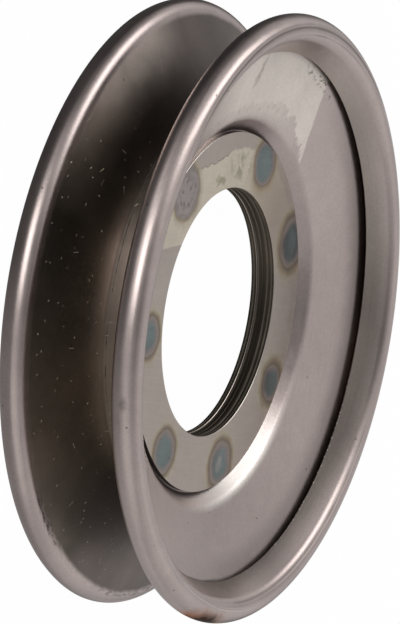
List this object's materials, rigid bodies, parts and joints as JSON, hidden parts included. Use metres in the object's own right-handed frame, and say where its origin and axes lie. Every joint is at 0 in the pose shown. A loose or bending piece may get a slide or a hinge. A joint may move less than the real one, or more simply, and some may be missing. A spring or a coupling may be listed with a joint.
{
  "type": "weld-on pulley",
  "caption": "Weld-on V-belt pulley of pressed sheet-steel halves with rolled rims, spot-welded back to back between flat hub rings around a plain bore.",
  "frame": {"origin": "centre of the bore on the plane where the two halves meet", "axes": "+Z along the shaft's axis towards the front side, which is up as the pulley lies on its back rim; +X across"},
  "size_m": [0.132, 0.132, 0.0324],
  "materials": {
    "flange_steel": "bare cold-rolled sheet, satin",
    "hub_steel": "bare cold-rolled sheet with heat tint round the spot welds"
  },
  "bodies": {
    "root": {"front_flange": "flange_steel", "back_flange": "flange_steel", "front_hub_ring": "hub_steel", "back_hub_ring": "hub_steel"}
  },
  "joints": []
}
